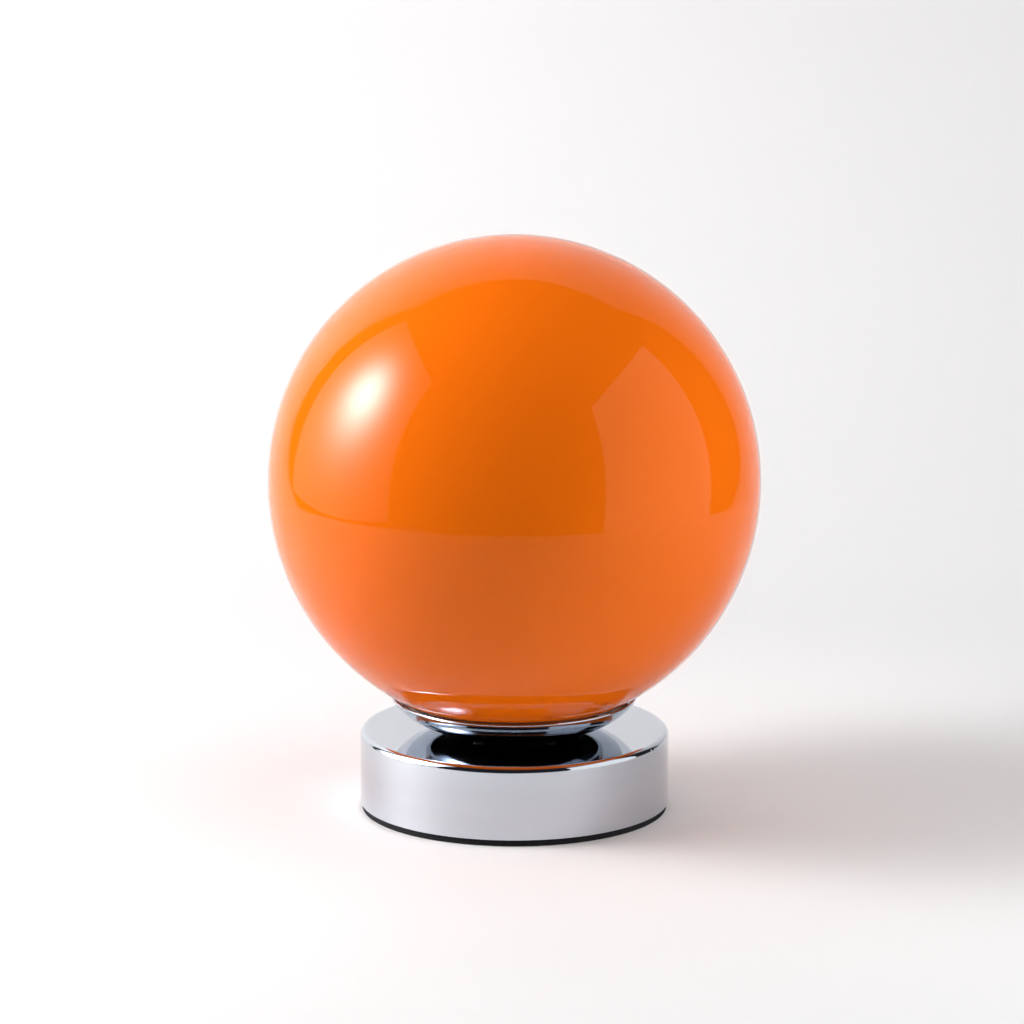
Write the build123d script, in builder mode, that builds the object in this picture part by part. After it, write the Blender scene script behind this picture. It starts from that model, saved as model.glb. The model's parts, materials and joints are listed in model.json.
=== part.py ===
from build123d import *
import math
import os

os.makedirs("parts", exist_ok=True)

# A table lamp: a glass globe that rests in a shallow chromed dish on a low chromed drum.
# Millimetres, +Z up, origin at the middle of the pad's underside. The cord inlet faces +Y.

# ---------------------------------------------------------------- driving dimensions
# Clearances
fit_gap = 0.05
seat_gap = 0.3
plate_gap = 0.2
hole_gap = 0.3

# Drum and what closes it
drum_radius = 63.1
drum_height = 30.0
drum_wall = 1.2
drum_edge = 2.4
pad_height = 2.7
pad_inset = 0.8
pad_width = 8.0
plate_thickness = 1.2
ballast_height = 12.0
ballast_wire_gap = 5.3
ballast_gap = 1.2
ballast_chamfer = 1.0
post_count = 3
post_radius = 4.0
post_turn = 30.0
bottom_screw_radius = 2.0
bottom_screw_head_radius = 3.5
bottom_screw_head_height = 1.8
bottom_screw_head_round = 0.6
bottom_screw_bite = 8.0
bottom_screw_room = 1.0
screw_pad_gap = 1.1
screw_slot = 0.7

# Cord inlet
inlet_height = 22.0
inlet_bore_radius = 3.25
inlet_hole_radius = 5.0
inlet_flange_radius = 6.2
inlet_flange_height = 1.6
inlet_inner_flange_radius = 5.8
inlet_sleeve_length = 4.0

# Terminal block and wires
block_length = 28.0
block_depth = 16.0
block_height = 12.0
block_front = 22.0
pole_count = 3
pole_pitch = 9.0
insert_radius = 2.4
insert_bore_radius = 1.3
insert_inset = 1.0
clamp_screw_radius = 1.0
clamp_screw_inset = 4.2
clamp_well_radius = 2.0
block_screw_radius = 1.2
block_screw_head_radius = 1.9
block_screw_head_height = 1.4
wire_radius = 1.0
wire_spread = 1.35
wire_loop = 8.0
wire_bend = 4.0
wire_lift = 9.0
wire_bite = 7.0
wire_clear = 2.0
wire_climb = 5.0

# Threaded tube and its nuts
tube_radius = 4.95
tube_bore_radius = 3.6
tube_below_nut = 2.0
tube_above_nut = 7.0
tube_chamfer = 0.5
nut_across_flats = 14.0
nut_height = 4.0
lock_washer_radius = 8.0
lock_washer_height = 0.8
lock_washer_teeth = 12
lock_washer_slot_length = 2.6
lock_washer_slot_width = 1.3
flat_washer_radius = 10.0
flat_washer_height = 1.0
tag_thickness = 0.8
tag_radius = 8.0
tag_width = 6.0
tag_reach = 19.0
spacer_radius = 12.5
spacer_height = 1.5

# Dish that carries the globe
dish_radius = 50.6
dish_depth = 12.8
dish_wall = 1.2
dish_floor_radius = 26.5
dish_step_width = 1.5
dish_step_height = 0.6
dish_bulge = 3.3
dish_rim_round = 0.5

# Spring clips inside the globe's mouth
clip_count = 3
clip_turn = 90.0
clip_thickness = 0.6
clip_width = 8.0
clip_foot_start = 12.0
clip_foot_end = 21.0
clip_height = 24.0
clip_crown = 5.0
clip_bend = 2.0
rivet_circle_radius = 17.0
rivet_radius = 1.2
rivet_head_radius = 2.2
rivet_head_height = 0.7

# Glass globe
globe_radius = 100.0
globe_droop = 1.5
globe_wall = 2.5
globe_mouth_radius = 40.0
globe_mouth_round = 0.8
gasket_width = 4.0
gasket_start = 1.0
gasket_height = 4.2

# Lampholder
holder_radius = 19.5
holder_wall = 2.2
holder_neck_radius = 9.0
holder_neck_height = 5.3
holder_dome_height = 8.0
holder_cap_height = 19.3
grub_radius = 1.5
grub_height = 2.7
core_height = 12.0
core_recess = 2.0
core_side_gap = 0.4
core_ledge = 1.5
wire_hole_depth = 4.0
wire_hole_offset = 9.0
core_screw_radius = 1.6
core_screw_length = 6.0
core_screw_height = 2.2
shell_radius = 13.35
shell_thickness = 0.4
shell_height = 20.0
mouth_lip = 1.2
mouth_above_shell = 3.0
sleeve_flutes = 24
flute_radius = 0.9
flute_depth = 0.45
flute_height = 12.0
contact_width = 5.0
contact_thickness = 0.5
contact_rise = 2.4
contact_half_length = 8.0
contact_screw_radius = 1.5

# Bulb
tip_gap = 0.3
tip_radius = 4.8
tip_height = 1.5
insulator_top_radius = 9.5
insulator_height = 4.5
cap_radius = 13.25
cap_root_radius = 12.3
cap_pitch = 3.6
cap_turns = 5
cap_shoulder = 1.5
cap_collar = 2.0
cap_wall = 0.4
housing_radius = 28.5
housing_neck_radius = 14.5
housing_height = 36.0
housing_wall = 1.5
diffuser_radius = 30.0
diffuser_straight = 16.0
diffuser_wall = 1.2
led_board_thickness = 1.6
led_count = 10
led_width = 2.8
led_height = 0.8
led_circle_radius = 17.0
driver_width = 18.0
driver_thickness = 1.2
capacitor_radius = 4.0
capacitor_length = 12.0

# ---------------------------------------------------------------- levels and places worked out
drum_top = pad_height + drum_height
drum_ceiling = drum_top - drum_wall
plate_top = pad_height + plate_thickness
ballast_top = plate_top + ballast_height
drum_inner_radius = drum_radius - drum_wall
ballast_outer = drum_inner_radius - ballast_gap
ballast_inner = block_front + wire_loop + wire_clear + wire_radius + ballast_wire_gap
pad_outer = drum_radius - pad_inset
post_circle = pad_outer - pad_width - bottom_screw_head_radius - screw_pad_gap
block_middle = block_depth / 2 - block_front

spacer_top = drum_top + spacer_height
dish_floor_top = spacer_top + dish_wall
dish_rim = spacer_top + dish_depth
flat_washer_top = dish_floor_top + flat_washer_height
upper_nut_top = flat_washer_top + nut_height
lock_washer_bottom = drum_ceiling - lock_washer_height
tag_bottom = lock_washer_bottom - tag_thickness
lower_nut_bottom = tag_bottom - nut_height
tube_bottom = lower_nut_bottom - tube_below_nut
tube_top = upper_nut_top + tube_above_nut
tube_hole_radius = tube_radius + hole_gap
nut_bore_radius = tube_radius + fit_gap

holder_bottom = upper_nut_top
cap_top = holder_bottom + holder_cap_height
core_bottom = cap_top - core_recess
core_top = core_bottom + core_height
shell_top = core_top + shell_height
sleeve_top = shell_top + mouth_above_shell
holder_inner_radius = holder_radius - holder_wall
core_radius = holder_inner_radius - core_side_gap

bulb_bottom = core_top + contact_rise + tip_gap
insulator_bottom = bulb_bottom + tip_height
insulator_top = insulator_bottom + insulator_height
thread_bottom = insulator_top + cap_shoulder
thread_top = thread_bottom + cap_turns * cap_pitch
bulb_cap_top = thread_top + cap_collar
housing_top = bulb_cap_top + housing_height
diffuser_middle = housing_top + diffuser_straight

# The dish's flank is one arc from the step round its floor to its rim.
flank_foot = Vector(dish_floor_radius + dish_step_width, spacer_top + dish_step_height)
flank_rim = Vector(dish_radius, dish_rim)
flank_chord = flank_rim - flank_foot
flank_middle = (flank_foot + flank_rim) / 2
flank_inward = Vector(-flank_chord.Y, flank_chord.X) / flank_chord.length
flank_radius = (flank_chord.length**2 / 4 + dish_bulge**2) / (2 * dish_bulge)
flank_centre = flank_middle + flank_inward * (flank_radius - dish_bulge)
flank_lowest = flank_middle - flank_inward * dish_bulge


def dish_inside(radius):
    """Height of the dish's inner face at a radius on its flank."""
    inner = flank_radius - dish_wall
    return flank_centre.Y - math.sqrt(inner**2 - (radius - flank_centre.X) ** 2)


# The globe rests on its gasket, so its height follows from the dish's flank.
gasket_inner = globe_mouth_radius + gasket_start
globe_seat = dish_inside(gasket_inner) + gasket_height
globe_drop = (globe_radius + globe_droop) * math.sqrt(1 - (gasket_inner / globe_radius) ** 2)
globe_height = globe_seat + globe_drop


def globe_underside(radius):
    """Height of the globe's outer face below its widest line."""
    return globe_height - (globe_radius + globe_droop) * math.sqrt(1 - (radius / globe_radius) ** 2)


def globe_cavity_floor(radius):
    """Height of the globe's inner face below its widest line."""
    inner = globe_radius - globe_wall
    return globe_height - (inner + globe_droop) * math.sqrt(1 - (radius / inner) ** 2)


def turns(count, first):
    """Angles of a ring of equal pieces, in degrees."""
    return [first + 360 / count * n for n in range(count)]


def upright_plane(turn):
    """Plane through the lamp's axis whose first direction points out at an angle."""
    outward = Vector(1, 0, 0).rotate(Axis.Z, turn)
    return Plane(origin=(0, 0, 0), x_dir=outward, z_dir=outward.cross(Vector(0, 0, 1)))


def write(piece, name):
    """Labels one finished sub-part and writes its STEP file."""
    piece.part.label = name
    export_step(piece.part, f"parts/{name}.step")


# ---------------------------------------------------------------- drum
with BuildPart() as foot_pad:
    with BuildSketch():
        Circle(pad_outer)
        Circle(pad_outer - pad_width, mode=Mode.SUBTRACT)
    extrude(amount=pad_height)
write(foot_pad, "foot_pad")

with BuildPart() as base_shell:
    with BuildSketch(Plane.XY.offset(pad_height)):
        Circle(drum_radius)
    extrude(amount=drum_height)
    fillet(base_shell.edges().group_by(Axis.Z)[-1], radius=drum_edge)
    offset(amount=-drum_wall, openings=base_shell.faces().sort_by(Axis.Z)[0])
    with BuildSketch(Plane.XY.offset(drum_top)):
        Circle(tube_hole_radius)
    extrude(amount=-drum_wall - drum_edge, mode=Mode.SUBTRACT)
    with BuildSketch(Plane(origin=(0, 0, inlet_height), x_dir=(1, 0, 0), z_dir=(0, 1, 0))):
        Circle(inlet_hole_radius)
    extrude(amount=drum_radius + drum_wall, mode=Mode.SUBTRACT)
write(base_shell, "base_shell")

with BuildPart() as bottom_plate:
    with BuildSketch(Plane.XY.offset(pad_height)):
        Circle(drum_inner_radius - plate_gap)
        with PolarLocations(post_circle, post_count, start_angle=post_turn):
            Circle(bottom_screw_radius + hole_gap, mode=Mode.SUBTRACT)
        with Locations((pole_pitch / 2, block_middle)):
            Circle(block_screw_radius + fit_gap, mode=Mode.SUBTRACT)
    extrude(amount=plate_thickness)
write(bottom_plate, "bottom_plate")

with BuildPart() as ballast_ring:
    with BuildSketch(Plane.XY.offset(plate_top)):
        Circle(ballast_outer)
        Circle(ballast_inner, mode=Mode.SUBTRACT)
        with PolarLocations(post_circle, post_count, start_angle=post_turn):
            Circle(bottom_screw_radius + hole_gap, mode=Mode.SUBTRACT)
    extrude(amount=ballast_height)
    ballast_edges = ballast_ring.edges().group_by(Axis.Z)[-1].sort_by(SortBy.RADIUS)[-2:]
    chamfer(ballast_edges, ballast_chamfer)
write(ballast_ring, "ballast_ring")

with BuildPart() as base_posts:
    with BuildSketch(Plane.XY.offset(ballast_top)):
        with PolarLocations(post_circle, post_count, start_angle=post_turn):
            Circle(post_radius)
    extrude(amount=drum_ceiling - ballast_top)
    with BuildSketch(Plane.XY.offset(ballast_top)):
        with PolarLocations(post_circle, post_count, start_angle=post_turn):
            Circle(bottom_screw_radius + fit_gap)
    extrude(amount=bottom_screw_bite + bottom_screw_room, mode=Mode.SUBTRACT)
write(base_posts, "base_posts")

with BuildPart() as bottom_screws:
    with BuildSketch(Plane.XY.offset(pad_height - bottom_screw_head_height)):
        with PolarLocations(post_circle, post_count, start_angle=post_turn):
            Circle(bottom_screw_head_radius)
    extrude(amount=bottom_screw_head_height)
    fillet(bottom_screws.edges().group_by(Axis.Z)[0], radius=bottom_screw_head_round)
    with BuildSketch(Plane.XY.offset(pad_height)):
        with PolarLocations(post_circle, post_count, start_angle=post_turn):
            Circle(bottom_screw_radius)
    extrude(amount=plate_thickness + ballast_height + bottom_screw_bite)
    with BuildSketch(Plane.XY.offset(pad_height - bottom_screw_head_height)):
        with PolarLocations(post_circle, post_count, start_angle=post_turn):
            Rectangle(2 * bottom_screw_radius, screw_slot)
            Rectangle(screw_slot, 2 * bottom_screw_radius)
    extrude(amount=bottom_screw_head_height / 2, mode=Mode.SUBTRACT)
write(bottom_screws, "bottom_screws")

# Both flanges are flat: the outer one touches the round wall at its middle, the inner one at its sides.
inlet_plane = Plane(origin=(0, 0, inlet_height), x_dir=(1, 0, 0), z_dir=(0, 1, 0))
inner_flange_seat = math.sqrt(drum_inner_radius**2 - inlet_inner_flange_radius**2) - fit_gap
sleeve_start = inner_flange_seat - inlet_flange_height - inlet_sleeve_length
with BuildPart() as inlet_grommet:
    with BuildSketch(inlet_plane.offset(drum_radius)):
        Circle(inlet_flange_radius)
    extrude(amount=inlet_flange_height)
    fillet(inlet_grommet.edges().group_by(Axis.Y)[-1], radius=inlet_flange_height / 2)
    with BuildSketch(inlet_plane.offset(sleeve_start)):
        Circle(inlet_hole_radius - fit_gap)
    extrude(amount=drum_radius - sleeve_start)
    with BuildSketch(inlet_plane.offset(inner_flange_seat)):
        Circle(inlet_inner_flange_radius)
    extrude(amount=-inlet_flange_height)
    with BuildSketch(inlet_plane):
        Circle(inlet_bore_radius)
    extrude(amount=drum_radius + 2 * inlet_flange_height, mode=Mode.SUBTRACT)
write(inlet_grommet, "inlet_grommet")

# ---------------------------------------------------------------- terminal block
pole_height = plate_top + block_height / 2
block_top = plate_top + block_height
pole_places = [(n - (pole_count - 1) / 2) * pole_pitch for n in range(pole_count)]
clamp_reach = block_depth / 2 - clamp_screw_inset
clamp_places = [block_middle - clamp_reach, block_middle + clamp_reach]
clamp_spots = [(x, y) for x in pole_places for y in clamp_places]
clamp_head_top = block_top - clamp_screw_radius
with BuildPart() as terminal_block:
    with BuildSketch(Plane.XY.offset(plate_top)):
        with Locations((0, block_middle)):
            Rectangle(block_length, block_depth)
    extrude(amount=block_height)
    with BuildSketch(Plane.XZ.offset(block_front)):
        with Locations(*[(x, pole_height) for x in pole_places]):
            Circle(insert_radius + fit_gap)
    extrude(amount=-block_depth, mode=Mode.SUBTRACT)
    with BuildSketch(Plane.XY.offset(block_top)):
        with Locations(*clamp_spots):
            Circle(clamp_well_radius)
    extrude(amount=pole_height - block_top, mode=Mode.SUBTRACT)
    with BuildSketch(Plane.XY.offset(block_top)):
        with Locations((pole_pitch / 2, block_middle)):
            Circle(block_screw_head_radius + fit_gap)
    extrude(amount=-block_height / 2, mode=Mode.SUBTRACT)
    with BuildSketch(Plane.XY.offset(plate_top)):
        with Locations((pole_pitch / 2, block_middle)):
            Circle(block_screw_radius + fit_gap)
    extrude(amount=block_height / 2, mode=Mode.SUBTRACT)
write(terminal_block, "terminal_block")

insert_length = block_depth - 2 * insert_inset
with BuildPart() as terminal_inserts:
    with BuildSketch(Plane.XZ.offset(block_front - insert_inset)):
        with Locations(*[(x, pole_height) for x in pole_places]):
            Circle(insert_radius)
            Circle(insert_bore_radius, mode=Mode.SUBTRACT)
    extrude(amount=-insert_length)
    with BuildSketch(Plane.XY.offset(pole_height)):
        with Locations(*clamp_spots):
            Circle(clamp_screw_radius + fit_gap)
    extrude(amount=insert_radius, mode=Mode.SUBTRACT)
write(terminal_inserts, "terminal_inserts")

# Each clamp screw stands on the wire in its insert, or would stand on a mains core.
with BuildPart() as terminal_screws:
    with BuildSketch(Plane.XY.offset(pole_height + wire_radius + fit_gap)):
        with Locations(*clamp_spots):
            Circle(clamp_screw_radius)
    extrude(amount=clamp_head_top - pole_height - wire_radius - fit_gap)
    with BuildSketch(Plane.XY.offset(pole_height + insert_radius + fit_gap)):
        with Locations(*clamp_spots):
            Circle(clamp_well_radius - hole_gap)
    extrude(amount=clamp_head_top - pole_height - insert_radius - fit_gap)
    with BuildSketch(Plane.XY.offset(clamp_head_top)):
        with Locations(*clamp_spots):
            Rectangle(2 * clamp_well_radius, screw_slot)
    extrude(amount=-screw_slot, mode=Mode.SUBTRACT)
write(terminal_screws, "terminal_screws")

with BuildPart() as block_screw:
    with BuildSketch(Plane.XY.offset(pad_height)):
        with Locations((pole_pitch / 2, block_middle)):
            Circle(block_screw_radius)
    extrude(amount=plate_thickness + block_height / 2)
    with BuildSketch(Plane.XY.offset(plate_top + block_height / 2)):
        with Locations((pole_pitch / 2, block_middle)):
            Circle(block_screw_head_radius)
    extrude(amount=block_screw_head_height)
    with BuildSketch(Plane.XY.offset(plate_top + block_height / 2 + block_screw_head_height)):
        with Locations((pole_pitch / 2, block_middle)):
            Rectangle(2 * block_screw_head_radius, screw_slot)
    extrude(amount=-screw_slot, mode=Mode.SUBTRACT)
write(block_screw, "block_screw")

# ---------------------------------------------------------------- threaded tube, washers and nuts
with BuildPart() as threaded_tube:
    with BuildSketch(Plane.XY.offset(tube_bottom)):
        Circle(tube_radius)
        Circle(tube_bore_radius, mode=Mode.SUBTRACT)
    extrude(amount=tube_top - tube_bottom)
    chamfer(threaded_tube.edges().group_by(Axis.Z)[0].sort_by(SortBy.RADIUS)[-1], tube_chamfer)
    chamfer(threaded_tube.edges().group_by(Axis.Z)[-1].sort_by(SortBy.RADIUS)[-1], tube_chamfer)
write(threaded_tube, "threaded_tube")

for nut_name, nut_bottom in (("lower_lock_nut", lower_nut_bottom), ("upper_lock_nut", flat_washer_top)):
    with BuildPart() as lock_nut:
        with BuildSketch(Plane.XY.offset(nut_bottom)):
            RegularPolygon(radius=nut_across_flats / 2, side_count=6, major_radius=False)
            Circle(nut_bore_radius, mode=Mode.SUBTRACT)
        extrude(amount=nut_height)
    write(lock_nut, nut_name)

with BuildPart() as toothed_washer:
    with BuildSketch(Plane.XY.offset(lock_washer_bottom)):
        Circle(lock_washer_radius)
        Circle(tube_radius + hole_gap, mode=Mode.SUBTRACT)
        with PolarLocations(lock_washer_radius, lock_washer_teeth):
            Rectangle(lock_washer_slot_length, lock_washer_slot_width, mode=Mode.SUBTRACT)
    extrude(amount=lock_washer_height)
write(toothed_washer, "toothed_washer")

with BuildPart() as flat_washer:
    with BuildSketch(Plane.XY.offset(dish_floor_top)):
        Circle(flat_washer_radius)
        Circle(tube_radius + hole_gap, mode=Mode.SUBTRACT)
    extrude(amount=flat_washer_height)
write(flat_washer, "flat_washer")

with BuildPart() as earth_tag:
    with BuildSketch(Plane.XY.offset(tag_bottom)):
        Circle(tag_radius)
        with Locations((0, -tag_reach / 2)):
            Rectangle(tag_width, tag_reach)
        Circle(tube_radius + hole_gap, mode=Mode.SUBTRACT)
    extrude(amount=tag_thickness)
write(earth_tag, "earth_tag")

with BuildPart() as dish_spacer:
    with BuildSketch(Plane.XY.offset(drum_top)):
        Circle(spacer_radius)
        Circle(tube_radius + hole_gap, mode=Mode.SUBTRACT)
    extrude(amount=spacer_height)
write(dish_spacer, "dish_spacer")

# ---------------------------------------------------------------- dish
inner_flank_radius = flank_radius - dish_wall
inner_flank_foot = flank_centre + (flank_foot - flank_centre) * (inner_flank_radius / flank_radius)
inner_flank_lowest = flank_centre + (flank_lowest - flank_centre) * (inner_flank_radius / flank_radius)
inner_rim_radius = flank_centre.X + math.sqrt(inner_flank_radius**2 - (dish_rim - flank_centre.Y) ** 2)
inner_flank_rim = Vector(inner_rim_radius, dish_rim)
with BuildPart() as gallery_dish:
    with BuildSketch(Plane.XZ):
        with BuildLine():
            Polyline((tube_hole_radius, dish_floor_top), (tube_hole_radius, spacer_top),
                     (dish_floor_radius, spacer_top), flank_foot)
            ThreePointArc(flank_foot, flank_lowest, flank_rim)
            Line(flank_rim, inner_flank_rim)
            ThreePointArc(inner_flank_rim, inner_flank_lowest, inner_flank_foot)
            Polyline(inner_flank_foot, (dish_floor_radius, dish_floor_top),
                     (tube_hole_radius, dish_floor_top))
        make_face()
    revolve(axis=Axis.Z)
    fillet(gallery_dish.edges().group_by(Axis.Z)[-1], radius=dish_rim_round)
    with BuildSketch(Plane.XY.offset(spacer_top)):
        with PolarLocations(rivet_circle_radius, clip_count, start_angle=clip_turn):
            Circle(rivet_radius + fit_gap)
    extrude(amount=dish_wall, mode=Mode.SUBTRACT)
write(gallery_dish, "gallery_dish")

# ---------------------------------------------------------------- spring clips and their rivets
clip_face = globe_mouth_radius - seat_gap - clip_thickness
clip_foot_top = dish_floor_top + clip_thickness
clip_knee = globe_underside(globe_mouth_radius) + globe_wall
clip_top = dish_floor_top + clip_height
with BuildPart() as globe_clips:
    for turn in turns(clip_count, clip_turn):
        with BuildSketch(upright_plane(turn)):
            with BuildLine() as clip_line:
                FilletPolyline((clip_foot_start, dish_floor_top), (clip_foot_end, dish_floor_top),
                               (clip_face, clip_knee), (clip_face, clip_top - clip_crown),
                               (clip_face - clip_crown / 2, clip_top), radius=clip_bend)
                offset(amount=clip_thickness, side=Side.LEFT)
            make_face()
        extrude(amount=clip_width / 2, both=True)
    with BuildSketch(Plane.XY.offset(dish_floor_top)):
        with PolarLocations(rivet_circle_radius, clip_count, start_angle=clip_turn):
            Circle(rivet_radius + fit_gap)
    extrude(amount=clip_thickness, mode=Mode.SUBTRACT)
write(globe_clips, "globe_clips")

with BuildPart() as clip_rivets:
    with BuildSketch(Plane.XY.offset(spacer_top - rivet_head_height)):
        with PolarLocations(rivet_circle_radius, clip_count, start_angle=clip_turn):
            Circle(rivet_head_radius)
    extrude(amount=rivet_head_height)
    with BuildSketch(Plane.XY.offset(spacer_top)):
        with PolarLocations(rivet_circle_radius, clip_count, start_angle=clip_turn):
            Circle(rivet_radius)
    extrude(amount=dish_wall + clip_thickness)
    with BuildSketch(Plane.XY.offset(clip_foot_top)):
        with PolarLocations(rivet_circle_radius, clip_count, start_angle=clip_turn):
            Circle(rivet_head_radius)
    extrude(amount=rivet_head_height)
    fillet(clip_rivets.edges().group_by(Axis.Z)[-1], radius=rivet_head_height / 2)
write(clip_rivets, "clip_rivets")

# ---------------------------------------------------------------- globe and its gasket
gasket_outer = gasket_inner + gasket_width
with BuildPart() as globe_gasket:
    with BuildSketch(Plane.XZ):
        with BuildLine():
            Polyline((gasket_inner, dish_inside(gasket_inner) + fit_gap),
                     (gasket_inner, globe_underside(gasket_inner) - seat_gap),
                     (gasket_outer, globe_underside(gasket_outer) - seat_gap),
                     (gasket_outer, dish_inside(gasket_outer) + fit_gap), close=True)
        make_face()
    revolve(axis=Axis.Z)
write(globe_gasket, "globe_gasket")

globe_inner_radius = globe_radius - globe_wall
globe_lowest = globe_radius + globe_droop
mouth_outer = (globe_mouth_radius, globe_underside(globe_mouth_radius))
mouth_inner = (globe_mouth_radius, globe_cavity_floor(globe_mouth_radius))
outer_sweep = math.degrees(math.acos(globe_mouth_radius / globe_radius))
inner_sweep = math.degrees(math.acos(globe_mouth_radius / globe_inner_radius))
with BuildPart() as glass_globe:
    with BuildSketch(Plane.XZ) as globe_section:
        with BuildLine():
            Line((0, globe_height + globe_radius), (0, globe_height + globe_inner_radius))
            RadiusArc((0, globe_height + globe_inner_radius), (globe_inner_radius, globe_height),
                      globe_inner_radius)
            EllipticalCenterArc((0, globe_height), globe_inner_radius, globe_lowest - globe_wall, 0,
                                arc_size=-inner_sweep)
            Line(mouth_inner, mouth_outer)
            EllipticalCenterArc((0, globe_height), globe_radius, globe_lowest, 0, arc_size=-outer_sweep)
            RadiusArc((0, globe_height + globe_radius), (globe_radius, globe_height), globe_radius)
        make_face()
        fillet(globe_section.vertices().sort_by(Axis.Y)[:2], radius=globe_mouth_round)
    revolve(axis=Axis.Z)
write(glass_globe, "glass_globe")

# ---------------------------------------------------------------- lampholder
neck_top = holder_bottom + holder_neck_height
dome_top = neck_top + holder_dome_height
ledge_radius = holder_inner_radius - core_ledge
with BuildPart() as holder_cap:
    with BuildSketch(Plane.XZ):
        with BuildLine():
            Polyline((nut_bore_radius, neck_top), (nut_bore_radius, holder_bottom),
                     (holder_neck_radius, holder_bottom), (holder_neck_radius, neck_top))
            RadiusArc((holder_neck_radius, neck_top), (holder_radius, dome_top), -holder_radius)
            Polyline((holder_radius, dome_top), (holder_radius, cap_top), (holder_inner_radius, cap_top),
                     (holder_inner_radius, core_bottom), (ledge_radius, core_bottom),
                     (ledge_radius, dome_top))
            RadiusArc((ledge_radius, dome_top), (holder_neck_radius, neck_top + holder_wall), holder_radius)
            Polyline((holder_neck_radius, neck_top + holder_wall), (nut_bore_radius, neck_top + holder_wall),
                     (nut_bore_radius, neck_top))
        make_face()
    revolve(axis=Axis.Z)
    with BuildSketch(Plane.YZ):
        with Locations((0, holder_bottom + grub_height)):
            Circle(grub_radius + fit_gap)
    extrude(amount=holder_neck_radius, mode=Mode.SUBTRACT)
write(holder_cap, "holder_cap")

grub_length = holder_neck_radius - tube_radius - hole_gap
with BuildPart() as holder_grub_screw:
    with BuildSketch(Plane.YZ.offset(tube_radius + fit_gap)):
        with Locations((0, holder_bottom + grub_height)):
            Circle(grub_radius)
    extrude(amount=grub_length)
    with BuildSketch(Plane.YZ.offset(tube_radius + fit_gap + grub_length)):
        with Locations((0, holder_bottom + grub_height)):
            Rectangle(2 * grub_radius, screw_slot)
    extrude(amount=-screw_slot, mode=Mode.SUBTRACT)
write(holder_grub_screw, "holder_grub_screw")

# The core is the lampholder's ceramic middle: wires enter it below, the screw shell stands on it.
core_screw_level = core_bottom + core_screw_height
with BuildPart() as holder_core:
    with BuildSketch(Plane.XY.offset(core_bottom)):
        Circle(core_radius)
    extrude(amount=core_height)
    with BuildSketch(Plane.XY.offset(core_bottom)):
        with Locations((-wire_hole_offset, 0), (wire_hole_offset, 0)):
            Circle(wire_radius + fit_gap)
    extrude(amount=wire_hole_depth, mode=Mode.SUBTRACT)
    with BuildSketch(Plane.XZ.offset(-core_radius)):
        with Locations((-wire_hole_offset, core_screw_level), (wire_hole_offset, core_screw_level)):
            Circle(core_screw_radius + fit_gap)
    extrude(amount=core_radius - wire_radius, mode=Mode.SUBTRACT)
    with BuildSketch(Plane.XY.offset(core_top)):
        with Locations((contact_half_length, 0)):
            Circle(contact_screw_radius + fit_gap)
    extrude(amount=-core_height / 2, mode=Mode.SUBTRACT)
write(holder_core, "holder_core")

with BuildPart() as core_screws:
    with BuildSketch(Plane.XZ.offset(-wire_radius - fit_gap - core_screw_length)):
        with Locations((-wire_hole_offset, core_screw_level), (wire_hole_offset, core_screw_level)):
            Circle(core_screw_radius)
    extrude(amount=core_screw_length)
    with BuildSketch(Plane.XZ.offset(-wire_radius - fit_gap - core_screw_length)):
        with Locations((-wire_hole_offset, core_screw_level), (wire_hole_offset, core_screw_level)):
            Rectangle(2 * core_screw_radius, screw_slot)
    extrude(amount=screw_slot, mode=Mode.SUBTRACT)
write(core_screws, "core_screws")

sleeve_bore_radius = shell_radius + shell_thickness + hole_gap
sleeve_mouth_radius = shell_radius + hole_gap / 2
with BuildPart() as holder_sleeve:
    with BuildSketch(Plane.XZ):
        with BuildLine():
            Polyline((holder_inner_radius, cap_top), (holder_radius, cap_top), (holder_radius, sleeve_top),
                     (sleeve_mouth_radius, sleeve_top), (sleeve_mouth_radius, shell_top),
                     (sleeve_bore_radius, shell_top), (sleeve_bore_radius, core_top),
                     (holder_inner_radius, core_top), close=True)
        make_face()
    revolve(axis=Axis.Z)
    fillet(holder_sleeve.edges().group_by(Axis.Z)[-1].sort_by(SortBy.RADIUS)[-1], radius=mouth_lip)
    with BuildSketch(Plane.XY.offset(cap_top + flute_radius)):
        with PolarLocations(holder_radius + flute_radius - flute_depth, sleeve_flutes):
            Circle(flute_radius)
    extrude(amount=flute_height, mode=Mode.SUBTRACT)
write(holder_sleeve, "holder_sleeve")

with BuildPart() as screw_shell:
    with BuildSketch(Plane.XY.offset(core_top)):
        Circle(shell_radius + shell_thickness)
        Circle(shell_radius, mode=Mode.SUBTRACT)
    extrude(amount=shell_height)
write(screw_shell, "screw_shell")

# The centre contact is a strip screwed down at one end and raised under the bulb's tip.
contact_lift = contact_rise - contact_thickness
with BuildPart() as centre_contact:
    with BuildSketch(Plane.XZ):
        with BuildLine():
            FilletPolyline((contact_half_length + contact_width / 2, core_top), (contact_width, core_top),
                           (contact_width / 2, core_top + contact_lift),
                           (-contact_width / 2, core_top + contact_lift), radius=contact_thickness)
            offset(amount=contact_thickness, side=Side.RIGHT)
        make_face()
    extrude(amount=contact_width / 2, both=True)
    with BuildSketch(Plane.XY.offset(core_top)):
        with Locations((contact_half_length, 0)):
            Circle(contact_screw_radius + fit_gap)
    extrude(amount=contact_rise, mode=Mode.SUBTRACT)
write(centre_contact, "centre_contact")

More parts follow.
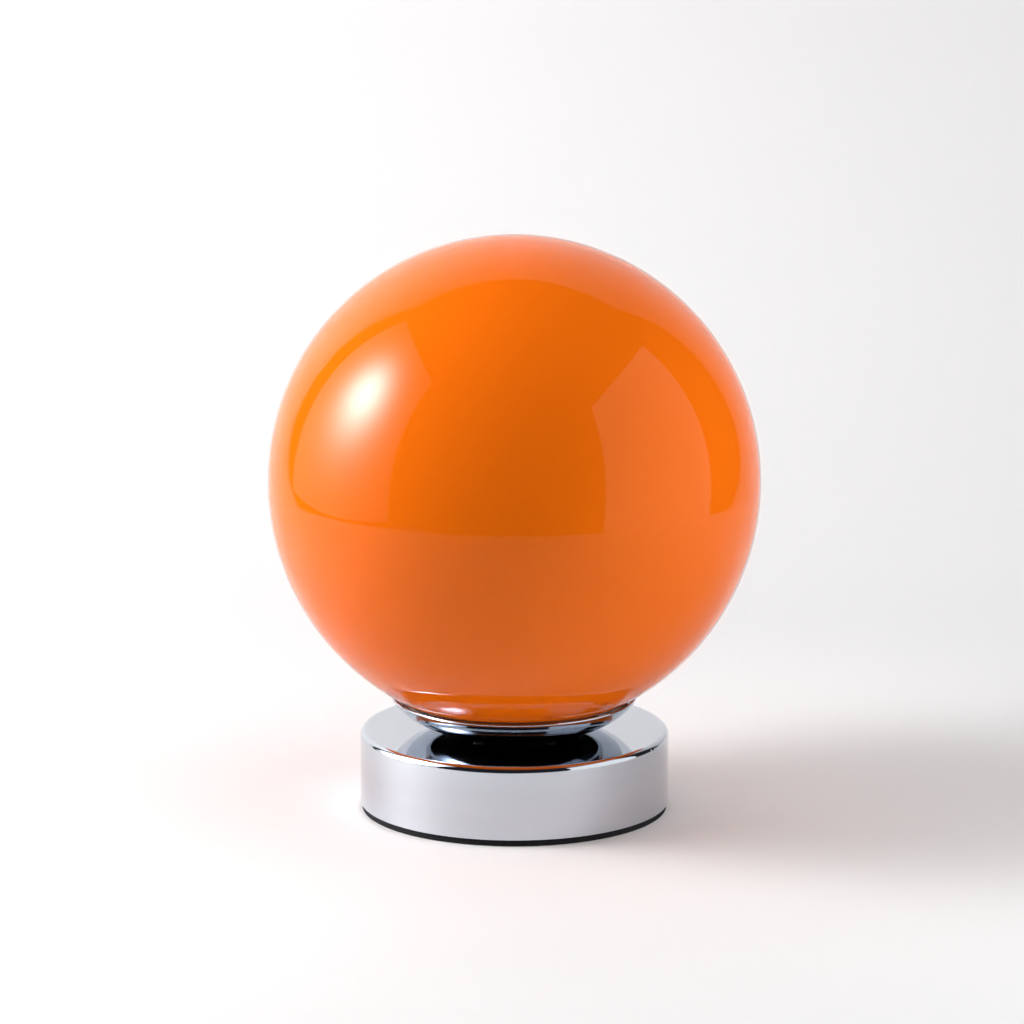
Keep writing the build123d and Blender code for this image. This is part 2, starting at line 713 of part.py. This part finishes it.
with BuildPart() as contact_screw:
    with BuildSketch(Plane.XY.offset(core_top - core_height / 2)):
        with Locations((contact_half_length, 0)):
            Circle(contact_screw_radius)
    extrude(amount=core_height / 2 + contact_thickness)
    with BuildSketch(Plane.XY.offset(core_top + contact_thickness)):
        with Locations((contact_half_length, 0)):
            Circle(contact_width / 2)
    extrude(amount=contact_screw_radius / 2)
write(contact_screw, "contact_screw")

# ---------------------------------------------------------------- wires inside the lamp
over_block = pole_height + wire_lift
wire_front = -block_front - wire_loop
wire_start = wire_bite - block_front
tag_middle = tag_bottom + tag_thickness / 2
wire_end = core_bottom + wire_hole_depth
for wire_name, side in (("live_wire", -1), ("neutral_wire", 1)):
    pole = side * pole_pitch
    with BuildPart() as core_wire:
        with BuildLine() as core_route:
            FilletPolyline((pole, wire_start, pole_height), (pole, wire_front, pole_height),
                           (pole, wire_front, over_block), (side * wire_spread, 0, over_block),
                           (side * wire_spread, 0, tube_top + wire_clear),
                           (side * wire_hole_offset, 0, tube_top + wire_clear + wire_climb),
                           (side * wire_hole_offset, 0, wire_end), radius=wire_bend)
        with BuildSketch(Plane(origin=(pole, wire_start, pole_height), z_dir=(0, -1, 0))):
            Circle(wire_radius)
        sweep(path=core_route.line)
    write(core_wire, wire_name)

with BuildPart() as earth_wire:
    with BuildLine() as earth_route:
        FilletPolyline((0, wire_start, pole_height), (0, wire_front - wire_clear, pole_height),
                       (0, wire_front - wire_clear, tag_middle), (0, -tag_reach, tag_middle),
                       radius=wire_bend)
    with BuildSketch(Plane(origin=(0, wire_start, pole_height), z_dir=(0, -1, 0))):
        Circle(wire_radius)
    sweep(path=earth_route.line)
write(earth_wire, "earth_wire")

# ---------------------------------------------------------------- bulb
with BuildPart() as bulb_contact:
    with BuildSketch(Plane.XY.offset(bulb_bottom)):
        Circle(tip_radius)
    extrude(amount=tip_height)
    fillet(bulb_contact.edges().group_by(Axis.Z)[0], radius=tip_height / 2)
write(bulb_contact, "bulb_contact")

with BuildPart() as bulb_insulator:
    with BuildSketch(Plane.XZ):
        with BuildLine():
            Polyline((0, insulator_bottom), (tip_radius + hole_gap, insulator_bottom),
                     (insulator_top_radius, insulator_top), (0, insulator_top), close=True)
        make_face()
    revolve(axis=Axis.Z)
write(bulb_insulator, "bulb_insulator")

# The cap's thread is drawn as a stack of round ridges, one for each turn.
cap_inner_radius = cap_root_radius - cap_wall
with BuildPart() as bulb_cap:
    with BuildSketch(Plane.XZ):
        with BuildLine():
            Line((insulator_top_radius, insulator_top), (cap_root_radius, thread_bottom))
            for ridge in range(cap_turns):
                ridge_bottom = thread_bottom + ridge * cap_pitch
                ThreePointArc((cap_root_radius, ridge_bottom), (cap_radius, ridge_bottom + cap_pitch / 2),
                              (cap_root_radius, ridge_bottom + cap_pitch))
            Polyline((cap_root_radius, thread_top), (cap_radius, thread_top), (cap_radius, bulb_cap_top),
                     (cap_inner_radius, bulb_cap_top), (cap_inner_radius, thread_bottom),
                     (insulator_top_radius - cap_wall, insulator_top), (insulator_top_radius, insulator_top))
        make_face()
    revolve(axis=Axis.Z)
write(bulb_cap, "bulb_cap")

housing_floor = bulb_cap_top + housing_wall
housing_flare = (housing_radius - housing_neck_radius) / housing_height
housing_inner_radius = housing_radius - housing_wall
housing_floor_radius = housing_neck_radius - housing_wall + housing_flare * housing_wall
board_bottom = housing_top - led_board_thickness
board_radius = housing_inner_radius - housing_flare * led_board_thickness - fit_gap
with BuildPart() as bulb_housing:
    with BuildSketch(Plane.XZ):
        with BuildLine():
            Polyline((cap_inner_radius, bulb_cap_top), (housing_neck_radius, bulb_cap_top),
                     (housing_radius, housing_top), (housing_inner_radius, housing_top),
                     (housing_floor_radius, housing_floor), (cap_inner_radius, housing_floor), close=True)
        make_face()
    revolve(axis=Axis.Z)
write(bulb_housing, "bulb_housing")

with BuildPart() as led_board:
    with BuildSketch(Plane.XY.offset(board_bottom)):
        Circle(board_radius)
    extrude(amount=led_board_thickness)
write(led_board, "led_board")

with BuildPart() as led_chips:
    with BuildSketch(Plane.XY.offset(housing_top)):
        with PolarLocations(led_circle_radius, led_count):
            Rectangle(led_width, led_width)
    extrude(amount=led_height)
write(led_chips, "led_chips")

driver_bottom = housing_floor - housing_wall
with BuildPart() as driver_board:
    with BuildSketch(Plane.XY.offset(driver_bottom)):
        Rectangle(driver_width, driver_thickness)
    extrude(amount=board_bottom - driver_bottom)
write(driver_board, "driver_board")

with BuildPart() as driver_capacitor:
    with BuildSketch(Plane.XY.offset(housing_floor + housing_wall)):
        with Locations((0, driver_thickness / 2 + fit_gap + capacitor_radius)):
            Circle(capacitor_radius)
    extrude(amount=capacitor_length)
    fillet(driver_capacitor.edges().group_by(Axis.Z)[-1], radius=driver_thickness / 2)
write(driver_capacitor, "driver_capacitor")

diffuser_inner_radius = diffuser_radius - diffuser_wall
diffuser_swell = diffuser_radius - housing_radius
diffuser_curve = (diffuser_straight**2 + diffuser_swell**2) / (2 * diffuser_swell)
with BuildPart() as bulb_diffuser:
    with BuildSketch(Plane.XZ):
        with BuildLine():
            Line((0, diffuser_middle + diffuser_inner_radius), (0, diffuser_middle + diffuser_radius))
            RadiusArc((0, diffuser_middle + diffuser_radius), (diffuser_radius, diffuser_middle),
                      diffuser_radius)
            RadiusArc((diffuser_radius, diffuser_middle), (housing_radius, housing_top), diffuser_curve)
            Line((housing_radius, housing_top), (housing_radius - diffuser_wall, housing_top))
            RadiusArc((housing_radius - diffuser_wall, housing_top),
                      (diffuser_inner_radius, diffuser_middle), diffuser_wall - diffuser_curve)
            RadiusArc((diffuser_inner_radius, diffuser_middle), (0, diffuser_middle + diffuser_inner_radius),
                      -diffuser_inner_radius)
        make_face()
    revolve(axis=Axis.Z)
write(bulb_diffuser, "bulb_diffuser")
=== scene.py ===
import json
import math

import bpy
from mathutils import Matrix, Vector

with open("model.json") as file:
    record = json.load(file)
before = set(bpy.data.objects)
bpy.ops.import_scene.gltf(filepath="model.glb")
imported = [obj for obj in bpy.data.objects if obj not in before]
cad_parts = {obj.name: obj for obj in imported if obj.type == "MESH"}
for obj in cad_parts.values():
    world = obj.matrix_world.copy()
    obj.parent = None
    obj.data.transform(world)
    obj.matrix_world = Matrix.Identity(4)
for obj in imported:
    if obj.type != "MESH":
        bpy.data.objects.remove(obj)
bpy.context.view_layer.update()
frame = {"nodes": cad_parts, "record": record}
nodes = frame["nodes"]
slots = {s["node"]: s["material_slot"] for s in frame["record"]["subparts"]}
scene = bpy.context.scene

# ------------------------------------------------------------------ shader helpers
PRINCIPLED = "ShaderNodeBsdfPrincipled"


class Surface:
    """One material's node tree with its Principled shader, and short ways to add to it."""

    def __init__(self, name, color, **sockets):
        self.material = bpy.data.materials.new(name)
        self.material.use_nodes = True
        self.tree = self.material.node_tree
        self.shader = next(n for n in self.tree.nodes if n.bl_idname == PRINCIPLED)
        self.shader.inputs["Base Color"].default_value = (*color, 1.0)
        for socket, value in sockets.items():
            self.shader.inputs[socket.replace("_", " ")].default_value = value
        self.place = self.add("ShaderNodeTexCoord").outputs["Object"]

    def add(self, kind, **inputs):
        node = self.tree.nodes.new(kind)
        for name, value in inputs.items():
            self.feed(node, name.replace("_", " "), value)
        return node

    def feed(self, node, socket, value):
        target = node.inputs[socket]
        if isinstance(value, bpy.types.NodeSocket):
            self.tree.links.new(value, target)
        else:
            target.default_value = value

    def stretched(self, scale):
        mapping = self.add("ShaderNodeMapping", Vector=self.place)
        mapping.inputs["Scale"].default_value = scale
        return mapping.outputs["Vector"]

    def noise(self, scale, detail=3.0, roughness=0.55, place=None):
        node = self.add(
            "ShaderNodeTexNoise",
            Vector=place or self.place,
            Scale=scale,
            Detail=detail,
            Roughness=roughness,
        )
        return node.outputs["Fac"]

    def spread(self, value, low, high, start, end):
        node = self.add("ShaderNodeMapRange", Value=value)
        for name, number in (("From Min", low), ("From Max", high), ("To Min", start), ("To Max", end)):
            node.inputs[name].default_value = number
        return node.outputs["Result"]

    def ramp(self, value, stops):
        node = self.add("ShaderNodeValToRGB", Fac=value)
        ramp = node.color_ramp
        while len(ramp.elements) < len(stops):
            ramp.elements.new(0.5)
        for element, (at, color) in zip(ramp.elements, stops):
            element.position = at
            element.color = (*color, 1.0)
        return node.outputs["Color"]

    def math(self, operation, first, second):
        node = self.add("ShaderNodeMath")
        node.operation = operation
        self.feed(node, 0, first)
        self.feed(node, 1, second)
        return node.outputs[0]

    def bump(self, height, distance):
        node = self.add("ShaderNodeBump", Height=height, Distance=distance, Strength=1.0)
        self.tree.links.new(node.outputs["Normal"], self.shader.inputs["Normal"])

    def color(self, value):
        self.tree.links.new(value, self.shader.inputs["Base Color"])

    def rough(self, value):
        self.tree.links.new(value, self.shader.inputs["Roughness"])


# ------------------------------------------------------------------ materials
def chrome(name, tint):
    """Bright chrome plate: a slow ripple from polishing and a faint haze of handling."""
    s = Surface(name, tint, Metallic=1.0)
    haze = s.noise(38.0, 4.0, 0.6)
    s.rough(s.spread(haze, 0.3, 0.75, 0.035, 0.075))
    wipe = s.noise(9.0, 2.0, 0.5, s.stretched((1.0, 1.0, 7.0)))
    light = tuple(min(1.0, c * 1.03) for c in tint)
    dark = tuple(c * 0.95 for c in tint)
    s.color(s.ramp(wipe, ((0.3, dark), (0.7, light))))
    s.bump(s.noise(14.0, 1.5, 0.4, s.stretched((1.0, 1.0, 2.5))), 0.00012)
    return s.material


def plated_steel(name, tint, rough=0.3, grain=90.0):
    """Zinc or nickel plate on turned or pressed steel, with a turned grain round the axis."""
    s = Surface(name, tint, Metallic=1.0)
    cloud = s.noise(120.0, 4.0, 0.6)
    s.rough(s.spread(cloud, 0.25, 0.75, rough * 0.75, rough * 1.3))
    light = tuple(min(1.0, c * 1.12) for c in tint)
    dark = tuple(c * 0.72 for c in tint)
    s.color(s.ramp(cloud, ((0.25, dark), (0.5, tint), (0.8, light))))
    s.bump(s.noise(grain, 3.0, 0.6, s.stretched((1.0, 1.0, 22.0))), 0.00004)
    return s.material


def moulded(name, tint, rough=0.35, spread=0.12, pebble=700.0, depth=0.00002):
    """Moulded plastic or rubber: faint flow clouds and a fine moulded pebble."""
    s = Surface(name, tint)
    cloud = s.noise(45.0, 4.0, 0.6)
    light = tuple(min(1.0, c * (1.0 + spread)) for c in tint)
    dark = tuple(c * (1.0 - spread) for c in tint)
    s.color(s.ramp(cloud, ((0.3, dark), (0.7, light))))
    s.rough(s.spread(cloud, 0.3, 0.7, rough * 0.85, rough * 1.2))
    s.bump(s.noise(pebble, 2.0, 0.5), depth)
    return s.material


def foam(name):
    """Black foam: near black, with small round cells."""
    s = Surface(name, (0.006, 0.006, 0.007), Roughness=0.9)
    s.shader.inputs["Specular IOR Level"].default_value = 0.2
    cells = s.add("ShaderNodeTexVoronoi", Vector=s.place, Scale=1900.0).outputs["Distance"]
    s.color(s.ramp(cells, ((0.1, (0.003, 0.003, 0.003)), (0.6, (0.01, 0.01, 0.011)))))
    s.bump(cells, 0.0002)
    return s.material


def casting(name):
    """Rough cast iron, dark in its pits and paler on its grains."""
    s = Surface(name, (0.15, 0.15, 0.16), Metallic=0.7)
    grit = s.noise(260.0, 6.0, 0.7)
    shades = ((0.3, (0.07, 0.065, 0.06)), (0.55, (0.15, 0.15, 0.155)), (0.8, (0.26, 0.25, 0.24)))
    s.color(s.ramp(grit, shades))
    s.rough(s.spread(grit, 0.3, 0.7, 0.45, 0.7))
    s.bump(grit, 0.0004)
    return s.material


def porcelain(name):
    """Unglazed ceramic with a fine speck."""
    s = Surface(name, (0.86, 0.84, 0.78), Roughness=0.45)
    speck = s.noise(500.0, 5.0, 0.75)
    shades = ((0.3, (0.74, 0.71, 0.63)), (0.5, (0.86, 0.84, 0.78)), (0.8, (0.92, 0.91, 0.87)))
    s.color(s.ramp(speck, shades))
    s.rough(s.spread(speck, 0.3, 0.7, 0.35, 0.6))
    s.bump(speck, 0.00006)
    return s.material


def opal_orange(name):
    """Cased orange opal glass: saturated body colour under a clear glossy skin."""
    s = Surface(
        name,
        (0.73, 0.128, 0.003),
        Roughness=0.32,
        Coat_Weight=1.0,
        Coat_Roughness=0.012,
        Coat_IOR=1.27,
    )
    cloud = s.noise(7.0, 3.0, 0.5)
    s.color(s.ramp(cloud, ((0.3, (0.71, 0.122, 0.0028)), (0.7, (0.75, 0.134, 0.0034)))))
    s.shader.inputs["Specular IOR Level"].default_value = 0.0
    s.bump(s.noise(11.0, 1.0, 0.3), 0.0002)
    return s.material


def wire_jacket(name, tint):
    """Soft wire insulation, with a finer pebble than the other mouldings."""
    return moulded(name, tint, rough=0.4, spread=0.1, pebble=1500.0, depth=0.00001)


def circuit(name):
    """Green lacquered circuit board with paler patches."""
    s = Surface(name, (0.03, 0.2, 0.07), Roughness=0.35)
    cells = s.add("ShaderNodeTexVoronoi", Vector=s.place, Scale=420.0)
    tracks = cells.outputs["Distance"]
    s.color(s.ramp(tracks, ((0.25, (0.05, 0.3, 0.1)), (0.5, (0.02, 0.16, 0.05)))))
    s.bump(tracks, 0.00005)
    return s.material


def glow(name):
    """Opal plastic of the bulb, unlit."""
    s = Surface(name, (0.86, 0.86, 0.84), Roughness=0.35)
    cloud = s.noise(60.0, 3.0, 0.5)
    s.color(s.ramp(cloud, ((0.3, (0.83, 0.83, 0.81)), (0.7, (0.9, 0.9, 0.88)))))
    s.rough(s.spread(cloud, 0.3, 0.7, 0.3, 0.42))
    s.bump(s.noise(1200.0, 2.0, 0.5), 0.00001)
    return s.material


FINISH = {
    "foot_foam": foam("foot_foam_look"),
    "drum_chrome": chrome("drum_chrome_look", (0.57, 0.60, 0.65)),
    "dish_chrome": chrome("dish_chrome_look", (0.55, 0.59, 0.65)),
    "plate_black": moulded("plate_black_look", (0.022, 0.022, 0.024), 0.45, 0.25, 900.0, 0.00005),
    "screw_steel": plated_steel("screw_steel_look", (0.62, 0.62, 0.6), 0.28),
    "cast_ballast": casting("cast_ballast_look"),
    "zinc_steel": plated_steel("zinc_steel_look", (0.6, 0.6, 0.57), 0.33),
    "inlet_black": moulded("inlet_black_look", (0.016, 0.016, 0.017), 0.45, 0.2),
    "block_nylon": moulded("block_nylon_look", (0.78, 0.77, 0.73), 0.5, 0.06),
    "brass_parts": plated_steel("brass_parts_look", (0.72, 0.5, 0.2), 0.3),
    "spacer_black": moulded("spacer_black_look", (0.012, 0.012, 0.013), 0.5, 0.2),
    "spring_steel": plated_steel("spring_steel_look", (0.55, 0.56, 0.58), 0.22),
    "clear_silicone": moulded("clear_silicone_look", (0.7, 0.7, 0.66), 0.4, 0.05),
    "holder_bakelite": moulded("holder_bakelite_look", (0.015, 0.014, 0.014), 0.22, 0.2),
    "core_ceramic": porcelain("core_ceramic_look"),
    "brown_insulation": wire_jacket("brown_insulation_look", (0.14, 0.05, 0.02)),
    "blue_insulation": wire_jacket("blue_insulation_look", (0.02, 0.09, 0.4)),
    "green_insulation": wire_jacket("green_insulation_look", (0.16, 0.36, 0.03)),
    "contact_tin": plated_steel("contact_tin_look", (0.66, 0.66, 0.65), 0.35),
    "insulator_black": moulded("insulator_black_look", (0.01, 0.01, 0.012), 0.12, 0.2),
    "cap_nickel": plated_steel("cap_nickel_look", (0.66, 0.65, 0.61), 0.2),
    "housing_white": moulded("housing_white_look", (0.82, 0.82, 0.8), 0.3, 0.04),
    "board_white": moulded("board_white_look", (0.85, 0.85, 0.85), 0.4, 0.04),
    "led_yellow": moulded("led_yellow_look", (0.85, 0.62, 0.12), 0.4, 0.1),
    "board_green": circuit("board_green_look"),
    "capacitor_black": moulded("capacitor_black_look", (0.02, 0.02, 0.026), 0.3, 0.2),
    "diffuser_opal": glow("diffuser_opal_look"),
    "globe_orange": opal_orange("globe_orange_look"),
}

for name, piece in nodes.items():
    look = FINISH[slots[name]]
    for place in piece.material_slots:
        place.material = look
    if not piece.material_slots:
        piece.data.materials.append(look)

# ------------------------------------------------------------------ room: sweep, world and lamps
def sheet(name, rows):
    """A surface through rows of points, each row the same length."""
    verts = [point for row in rows for point in row]
    width = len(rows[0])
    faces = []
    for r in range(len(rows) - 1):
        for c in range(width - 1):
            a = r * width + c
            faces.append((a, a + 1, a + width + 1, a + width))
    mesh = bpy.data.meshes.new(name)
    mesh.from_pydata(verts, [], faces)
    mesh.update()
    for face in mesh.polygons:
        face.use_smooth = True
    thing = bpy.data.objects.new(name, mesh)
    scene.collection.objects.link(thing)
    return thing


SWEEP_HALF = 0.69
SWEEP_FRONT = -0.65
SWEEP_BACK = 0.55
SWEEP_BEND = 0.25
SWEEP_TOP = 1.24
SWEEP_BEND_STEPS = 12
profile = [(SWEEP_FRONT, 0.0), (SWEEP_BACK - SWEEP_BEND, 0.0)]
for step in range(1, SWEEP_BEND_STEPS + 1):
    angle = math.radians(90.0 * step / SWEEP_BEND_STEPS)
    profile.append(
        (
            SWEEP_BACK - SWEEP_BEND + SWEEP_BEND * math.sin(angle),
            SWEEP_BEND - SWEEP_BEND * math.cos(angle),
        )
    )
profile.append((SWEEP_BACK, SWEEP_TOP))
sweep = sheet("sweep", [[(-SWEEP_HALF, y, z), (SWEEP_HALF, y, z)] for y, z in profile])

PAPER_SHADES = ((0.3, (0.635, 0.635, 0.64)), (0.7, (0.645, 0.645, 0.65)))
paper = Surface("sweep_paper", (0.64, 0.64, 0.645), Roughness=0.75)
paper.color(paper.ramp(paper.noise(3.0, 2.0), PAPER_SHADES))
# Seen from behind or below, the sweep is clear to the camera. To all other rays it stays paper.
from_camera = paper.add("ShaderNodeLightPath").outputs["Is Camera Ray"]
from_behind = paper.add("ShaderNodeNewGeometry").outputs["Backfacing"]
hidden = paper.math("MULTIPLY", from_camera, from_behind)
paper.feed(paper.shader, "Alpha", paper.math("SUBTRACT", 1.0, hidden))
sweep.data.materials.append(paper.material)

# The world is dark to everything but the camera, which sees it only past the sweep.
WORLD_DARK = (0.02, 0.02, 0.023, 1.0)
WORLD_PALE = (0.9, 0.9, 0.9, 1.0)
world = bpy.data.worlds.new("studio")
scene.world = world
world.use_nodes = True
backdrop = world.node_tree.nodes["Background"]
backdrop.inputs["Strength"].default_value = 1.0
world_rays = world.node_tree.nodes.new("ShaderNodeLightPath")
world_shade = world.node_tree.nodes.new("ShaderNodeValToRGB")
world_shade.color_ramp.elements[0].color = WORLD_DARK
world_shade.color_ramp.elements[1].color = WORLD_PALE
world.node_tree.links.new(world_rays.outputs["Is Camera Ray"], world_shade.inputs["Fac"])
world.node_tree.links.new(world_shade.outputs["Color"], backdrop.inputs["Color"])

POWER_PER_RADIANCE = 4.0


def lamp(name, place, aim, size, radiance, mirrored=True, lights=True):
    """A rectangular lamp of one radiance, seen in reflections, lighting the surfaces, or both."""
    light = bpy.data.lights.new(name, "AREA")
    light.shape = "RECTANGLE"
    light.size, light.size_y = size
    light.energy = POWER_PER_RADIANCE * size[0] * size[1] * radiance
    thing = bpy.data.objects.new(name, light)
    scene.collection.objects.link(thing)
    thing.location = place
    thing.rotation_euler = (Vector(aim) - Vector(place)).to_track_quat("-Z", "Y").to_euler()
    thing.visible_glossy = mirrored
    thing.visible_diffuse = lights
    return thing


GLOW_MIDDLE = (0.5, 0.5, 0.0)
GLOW_TALL = 1.25


def hot_spot(thing, level, glows):
    """Makes a lamp a diffuser sheet: a level with tall glows, each (strength, radius in metres)."""
    light = thing.data
    light.use_nodes = True
    tree = light.node_tree
    emission = next(n for n in tree.nodes if n.bl_idname == "ShaderNodeEmission")
    face = tree.nodes.new("ShaderNodeNewGeometry").outputs["Parametric"]

    def wired(kind, operation, *values):
        node = tree.nodes.new(kind)
        node.operation = operation
        for socket, value in zip(node.inputs, values):
            if isinstance(value, bpy.types.NodeSocket):
                tree.links.new(value, socket)
            else:
                socket.default_value = value
        return node

    extent = (light.size, light.size_y / GLOW_TALL, 0.0)
    offset = wired("ShaderNodeVectorMath", "SUBTRACT", face, GLOW_MIDDLE).outputs["Vector"]
    metres = wired("ShaderNodeVectorMath", "MULTIPLY", offset, extent).outputs["Vector"]
    square = wired("ShaderNodeVectorMath", "DOT_PRODUCT", metres, metres).outputs["Value"]
    total = level
    for strength, radius in glows:
        power = wired("ShaderNodeMath", "MULTIPLY", square, -0.5 / radius**2).outputs[0]
        bell = wired("ShaderNodeMath", "EXPONENT", power).outputs[0]
        total = wired("ShaderNodeMath", "MULTIPLY_ADD", bell, strength, total).outputs[0]
    tree.links.new(total, emission.inputs["Strength"])


LEFT_PLACE = (-0.80, -0.035, 0.62)
LEFT_SOFT_PLACE = (-0.78, -0.035, 0.62)
LEFT_AIM = (0.0, -0.035, 0.62)
LEFT_SIZE = (0.97, 1.24)
LEFT_SHEET_LEVEL = 0.6
LEFT_SHEET_GLOWS = ((8.5, 0.21), (32.0, 0.12))
LEFT_SOFT_GLOWS = ((6.7, 0.22), (14.8, 0.13))
RIGHT_PLACE = (0.72, -0.335, 0.41)
RIGHT_SOFT_PLACE = (0.70, -0.335, 0.41)
RIGHT_AIM = (0.0, -0.335, 0.41)
RIGHT_SIZE = (0.93, 1.06)
RIGHT_TILT = math.radians(-8.0)
RIGHT_SHEET_RADIANCE = 0.95
RIGHT_SOFT_RADIANCE = 2.3
WASH_PLACE = (0.40, -0.10, 1.5)
WASH_AIM = (0.10, -0.05, 0.0)
WASH_SIZE = (1.2, 1.0)
WASH_RADIANCE = 1.15
FILL_PLACE = (0.1, -1.6, 0.75)
FILL_AIM = (0.0, 0.0, 0.12)
FILL_SIZE = (1.0, 1.0)
FILL_RADIANCE = 1.1

# Each sheet stands beside the sweep and is what the globe and the chrome mirror. A soft lamp stands
# just in front of it and lights the surfaces, since two lamps at one place take light from each other.
left_sheet = lamp("left_sheet", LEFT_PLACE, LEFT_AIM, LEFT_SIZE, 1.0, lights=False)
hot_spot(left_sheet, LEFT_SHEET_LEVEL, LEFT_SHEET_GLOWS)
left_soft = lamp("left_soft", LEFT_SOFT_PLACE, LEFT_AIM, LEFT_SIZE, 1.0, mirrored=False)
hot_spot(left_soft, 0.0, LEFT_SOFT_GLOWS)
right_sheet = lamp("right_sheet", RIGHT_PLACE, RIGHT_AIM, RIGHT_SIZE, RIGHT_SHEET_RADIANCE, lights=False)
right_sheet.rotation_euler.rotate_axis("Z", RIGHT_TILT)
lamp("right_soft", RIGHT_SOFT_PLACE, RIGHT_AIM, RIGHT_SIZE, RIGHT_SOFT_RADIANCE, mirrored=False)
lamp("overhead_wash", WASH_PLACE, WASH_AIM, WASH_SIZE, WASH_RADIANCE, mirrored=False)
lamp("front_fill", FILL_PLACE, FILL_AIM, FILL_SIZE, FILL_RADIANCE, mirrored=False)

# ------------------------------------------------------------------ camera, fitted to the outlines
PHOTO = 1024
CAM_DISTANCE = 2.5
CAM_PITCH = math.radians(12.87)
CAM_FOCAL_PIXELS = 6158.0
CAM_AIM_HEIGHT = 0.1232
CAM_SIDE_PIXELS = 2.43
CAM_SENSOR = 36.0
CAM_FAR = 50.0
camera = bpy.data.cameras.new("camera")
camera.sensor_width = CAM_SENSOR
camera.lens = CAM_FOCAL_PIXELS / PHOTO * camera.sensor_width
camera.shift_x = -CAM_SIDE_PIXELS / PHOTO
camera.clip_end = CAM_FAR
viewer = bpy.data.objects.new("camera", camera)
scene.collection.objects.link(viewer)
viewer.location = (
    0.0,
    -CAM_DISTANCE * math.cos(CAM_PITCH),
    CAM_AIM_HEIGHT + CAM_DISTANCE * math.sin(CAM_PITCH),
)
looking = Vector((0.0, math.cos(CAM_PITCH), -math.sin(CAM_PITCH)))
viewer.rotation_euler = looking.to_track_quat("-Z", "Y").to_euler()
scene.camera = viewer
scene.view_settings.view_transform = "Standard"
